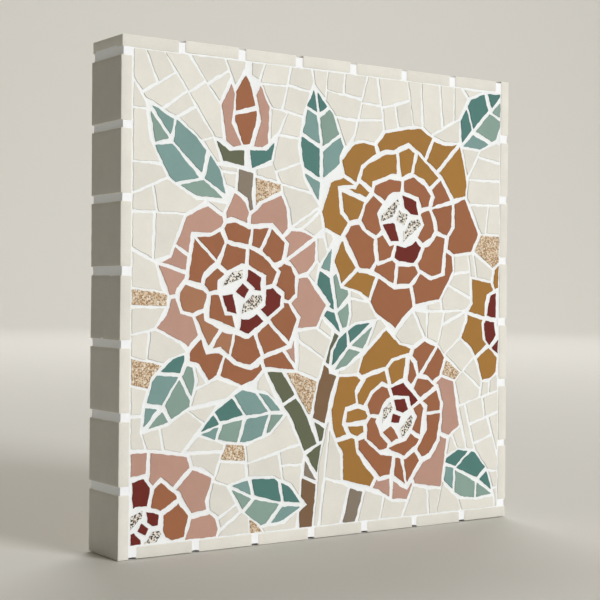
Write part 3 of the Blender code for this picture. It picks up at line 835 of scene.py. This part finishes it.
def sort_for(node, middle, axis, chance):
    """The porcelain that a shard is cut from."""
    if node in BLOOM_RINGS:
        centre, reach = bloom_centre(node)
        away = middle - centre
        share = math.hypot(away.x, away.z) / reach
        loose = chance.uniform(-PATCH_LOOSENESS, PATCH_LOOSENESS)
        round_share = math.atan2(away.x, away.z) / math.tau + loose
        sorts = next(sorts for limit, sorts in BLOOM_RINGS[node] if share < limit)
        return sorts[math.floor(round_share % 1 * len(sorts))]
    if node == "bud":
        low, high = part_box(node)
        if middle.z < low.z + SEPAL_HEIGHT * (high.z - low.z):
            return chance.choice((TEAL, OLIVE))
        from_middle = abs(middle.x - (low.x + high.x) / 2)
        return TERRACOTTA if from_middle < BUD_HEART * (high.x - low.x) else PINK
    if node.startswith("leaf"):
        low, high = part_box(node)
        offset = middle - (low + high) / 2
        light = offset.x * axis[1] - offset.z * axis[0] > 0
        return chance.choice((SAGE, SAGE, BLUE_GREEN) if light else (TEAL, TEAL, BLUE_GREEN))
    if node.startswith("stem"):
        return chance.choice((BARK, GREY_BROWN, OLIVE, BARK))
    return SAND_SPECKLED if chance.random() < SPECKLED_SHARE else CREAM


def colour_shards(node):
    """Gives each shard its sort and its own slight tone."""
    piece, numbers, middles = shards[node]
    chance = random.Random(node)
    spread = np.array([(m.x, m.z) for m in middles])
    axis = np.linalg.svd(spread - spread.mean(axis=0))[2][0] if len(middles) > 1 else (1, 0)
    sorts = [sort_for(node, middle, axis, chance) for middle in middles]
    used = sorted({sort.name for sort in sorts})
    for name in used:
        piece.data.materials.append(bpy.data.materials[name])
    for face in piece.data.polygons:
        face.material_index = used.index(sorts[numbers[face.vertices[0]]].name)
    tones = [chance.uniform(*SHARD_TONES) for _ in middles]
    attribute = piece.data.attributes.new("tone", "FLOAT", "POINT")
    attribute.data.foreach_set("value", [tones[number] for number in numbers])
    only(piece)
    bpy.ops.object.shade_smooth_by_angle(angle=math.radians(25))


for node in picture_nodes:
    colour_shards(node)

for piece in set_tiles:
    piece.data.materials.clear()
    piece.data.materials.append(CREAM)
    tone = random.Random(piece.name).uniform(*TILE_TONES)
    attribute = piece.data.attributes.new("tone", "FLOAT", "POINT")
    thin_axis = 0 if piece.dimensions.x < piece.dimensions.z else 2
    for corner, value in zip(piece.data.vertices, attribute.data):
        # Corners on the rounded edges get painted highlight.
        is_on_edge = max(abs(c) for c in corner.normal) < FACING
        # Corners on the pressed, outward faces get painted shade.
        is_pressed = abs(corner.normal[thin_axis]) > FACING
        value.value = tone * (PAINTED_EDGE_HIGHLIGHT if is_on_edge else PAINTED_SIDE_SHADE if is_pressed else 1)
    only(piece)
    bpy.ops.object.shade_smooth_by_angle(angle=math.radians(60))

# %% [markdown]
# ### White grout
#
# Cement grout with fine sand: bright white, very matt, pitted where grains came away and faintly grey where
# water pooled. Its grains are about 0.3 mm, just fine enough to read as a tooth on the surface.

# %% Make the grout
GRIT = 0.35 * MM
GRIT_DEPTH = 0.08 * MM
POOL = 9 * MM


def white_grout(name, dull, bright, pit_shade):
    """Sanded cement grout between two whites, its pitted spots darkened by painted shade as far as named.
    """
    made, tree, shader = new_material(name, Roughness=0.92, IOR=1.45)
    place = add_node(tree, "ShaderNodeTexCoord").outputs["Object"]
    cloud = add_node(tree, "ShaderNodeTexNoise", {"Scale": 1 / POOL, "Detail": 4.0}, Vector=place)
    grit = add_node(tree, "ShaderNodeTexNoise", {"Scale": 1 / GRIT, "Detail": 3.0}, Vector=place)
    ramp = add_node(tree, "ShaderNodeMix", {"data_type": "RGBA"}, i0=cloud.outputs["Fac"])
    ramp.inputs[6].default_value = linear(dull)
    ramp.inputs[7].default_value = linear(bright)
    # Painted shade: the colour darkens where the grit's bump is low, in the pitted spots.
    painted_pit_shade = add_node(
        tree,
        "ShaderNodeMapRange",
        {"From Min": 0.25, "From Max": 0.55, "To Min": pit_shade, "To Max": 1.0},
        Value=grit.outputs["Fac"],
    )
    shaded = add_node(
        tree,
        "ShaderNodeVectorMath",
        {"operation": "SCALE"},
        i0=ramp.outputs[2],
        Scale=painted_pit_shade.outputs[0],
    )
    bump = add_node(
        tree,
        "ShaderNodeBump",
        {"Strength": 0.6, "Distance": GRIT_DEPTH},
        Height=grit.outputs["Fac"],
    )
    tree.links.new(shaded.outputs["Vector"], shader.inputs["Base Color"])
    tree.links.new(bump.outputs["Normal"], shader.inputs["Normal"])
    return made


for piece, grout in (
    (grout_face, white_grout("sponged_white_grout", "ebeff2", "f6f9fb", 0.92)),
    # Painted light: the grout of the side joints is the front's grout drawn lighter, with less painted
    # shade in its pitted spots, because the sides stand in shade.
    (grout_sides, white_grout("smoothed_white_grout", "f0f3f8", "f8fbff", 0.97)),
):
    piece.data.materials.clear()
    piece.data.materials.append(grout)
    only(piece)
    bpy.ops.object.shade_smooth_by_angle(angle=math.radians(50))

# %% [markdown]
# ### The plywood board
#
# Nothing of the board shows from the front. From behind it is a plain square of birch plywood: pale, with
# long low streaks of grain and the odd darker vein.

# %% Finish the board
GRAIN_WIDTH = 0.8 * MM
GRAIN_STRETCH = 0.035
VEIN_WIDTH = 14 * MM
FIBRE_DEPTH = 0.1 * MM


def birch_plywood():
    """The face veneer of birch plywood, its grain running up the board."""
    made, tree, shader = new_material("birch_plywood", Roughness=0.62, IOR=1.5)
    place = add_node(tree, "ShaderNodeTexCoord").outputs["Object"]
    stretched = add_node(tree, "ShaderNodeMapping", {"Scale": (1, 1, GRAIN_STRETCH)}, Vector=place)
    fibre = add_node(
        tree,
        "ShaderNodeTexNoise",
        {"Scale": 1 / GRAIN_WIDTH, "Detail": 5.0, "Distortion": 0.4},
        Vector=stretched.outputs["Vector"],
    )
    vein = add_node(
        tree,
        "ShaderNodeTexNoise",
        {"Scale": 1 / VEIN_WIDTH, "Detail": 2.0},
        Vector=stretched.outputs["Vector"],
    )
    both = add_node(
        tree,
        "ShaderNodeMath",
        {"operation": "MULTIPLY"},
        i0=fibre.outputs["Fac"],
        i1=vein.outputs["Fac"],
    )
    ramp = add_node(tree, "ShaderNodeValToRGB", Fac=both.outputs[0])
    ramp.color_ramp.elements[0].position = 0.12
    ramp.color_ramp.elements[0].color = linear("c6a67a")
    ramp.color_ramp.elements[1].position = 0.42
    ramp.color_ramp.elements[1].color = linear("dcc49c")
    bump = add_node(
        tree,
        "ShaderNodeBump",
        {"Strength": 0.3, "Distance": FIBRE_DEPTH},
        Height=fibre.outputs["Fac"],
    )
    tree.links.new(ramp.outputs["Color"], shader.inputs["Base Color"])
    tree.links.new(bump.outputs["Normal"], shader.inputs["Normal"])
    return made


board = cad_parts["board"]
board.data.materials.clear()
board.data.materials.append(birch_plywood())

# %% [markdown]
# ## Floor, light and camera
#
# The floor is a wide round dish of pale plaster: flat under the panel, then rising in a soft curve far away
# on all sides, so that no edge shows from anywhere. A large soft light stands to the right in front, so the
# left side of the panel falls into shade. A second one hangs over the floor behind the panel and keeps it
# pale. The room itself gives little light.
#
# The dish is a disc whose rim is extruded in steps along a quarter circle, and then straight up.

# %% Set the stage
FLOOR_REACH = 3.4
FLOOR_CURVE = 1.4
WALL_HEIGHT = 1.6
CURVE_STEPS = 12
FLOOR_SIDES = 96
FLOOR_GAP = 0.2 * MM
LAMP_COLOUR = (1.0, 0.995, 0.985)
ROOM_LIGHT = 0.30


def pale_floor():
    """A round plaster floor that curves up into a wall far behind the panel, on all sides."""
    bpy.ops.object.select_all(action="DESELECT")
    bpy.ops.mesh.primitive_circle_add(
        vertices=FLOOR_SIDES,
        radius=FLOOR_REACH,
        fill_type="NGON",
        location=(0, 0, -HALF_PANEL - FLOOR_GAP),
    )
    floor = bpy.context.object
    floor.name = "studio_floor"
    bpy.ops.object.transform_apply(location=True)
    pick(floor, "EDGE", lambda edge: True)
    reach, height = FLOOR_REACH, 0
    for step in range(1, CURVE_STEPS + 1):
        angle = step / CURVE_STEPS * math.pi / 2
        out = FLOOR_REACH + FLOOR_CURVE * math.sin(angle)
        up = FLOOR_CURVE * (1 - math.cos(angle))
        bpy.ops.mesh.extrude_edges_move(TRANSFORM_OT_translate={"value": (0, 0, up - height)})
        bpy.ops.transform.resize(value=(out / reach, out / reach, 1), center_override=(0, 0, 0))
        reach, height = out, up
    bpy.ops.mesh.extrude_edges_move(TRANSFORM_OT_translate={"value": (0, 0, WALL_HEIGHT)})
    bpy.ops.mesh.select_all(action="SELECT")
    bpy.ops.mesh.normals_make_consistent(inside=True)
    done()
    bpy.ops.object.shade_smooth()
    made, _, shader = new_material("pale_plaster", Roughness=0.85)
    shader.inputs["Base Color"].default_value = linear("dad8d4")
    floor.data.materials.append(made)


def soft_light(name, place, aim, size, power, spread):
    """A square softbox aimed at a place, its light held to so many degrees by a grid."""
    lamp = bpy.data.lights.new(name, "AREA")
    lamp.shape = "SQUARE"
    lamp.size = size
    lamp.energy = power
    lamp.color = LAMP_COLOUR
    lamp.spread = math.radians(spread)
    stand = bpy.data.objects.new(name, lamp)
    stand.location = place
    stand.rotation_euler = (Vector(place) - Vector(aim)).to_track_quat("Z", "Y").to_euler()
    bpy.context.scene.collection.objects.link(stand)


pale_floor()
soft_light("key_light", (1.09, -3.80, 1.4), (0, 0, 0), 1.5, 59.6, 125)
soft_light("floor_light", (1.3, 1.7, 2.6), (1.6, 2.3, 0), 1.6, 62, 180)
world = bpy.data.worlds.new("pale_room")
bpy.context.scene.world = world
world.use_nodes = True
room = world.node_tree.nodes["Background"]
room.inputs["Color"].default_value = linear("dcd7c1")
room.inputs["Strength"].default_value = ROOM_LIGHT
bpy.context.scene.view_settings.view_transform = "Standard"

# %% Place the camera
CAMERA_PLACE = (-0.3493, -0.4973, 0.0018)
YAW = math.radians(-35.135)
PITCH = math.radians(-0.247)
ROLL = math.radians(-0.510)
LENS = 83.04
SENSOR_WIDTH = 36
NEAREST = 0.01


def photo_camera():
    """The camera where it stood: level, 35 degrees to the panel's left, without shift."""
    turn = Matrix.Rotation(YAW, 3, "Z") @ Matrix.Rotation(PITCH, 3, "X") @ Matrix.Rotation(ROLL, 3, "Y")
    right, forward, up = turn.col
    data = bpy.data.cameras.new("photo_camera")
    data.lens = LENS
    data.sensor_width = SENSOR_WIDTH
    data.clip_start = NEAREST
    camera = bpy.data.objects.new("photo_camera", data)
    facing = Matrix((right, up, -forward)).transposed().to_4x4()
    camera.matrix_world = Matrix.Translation(CAMERA_PLACE) @ facing
    bpy.context.scene.collection.objects.link(camera)
    bpy.context.scene.camera = camera


photo_camera()
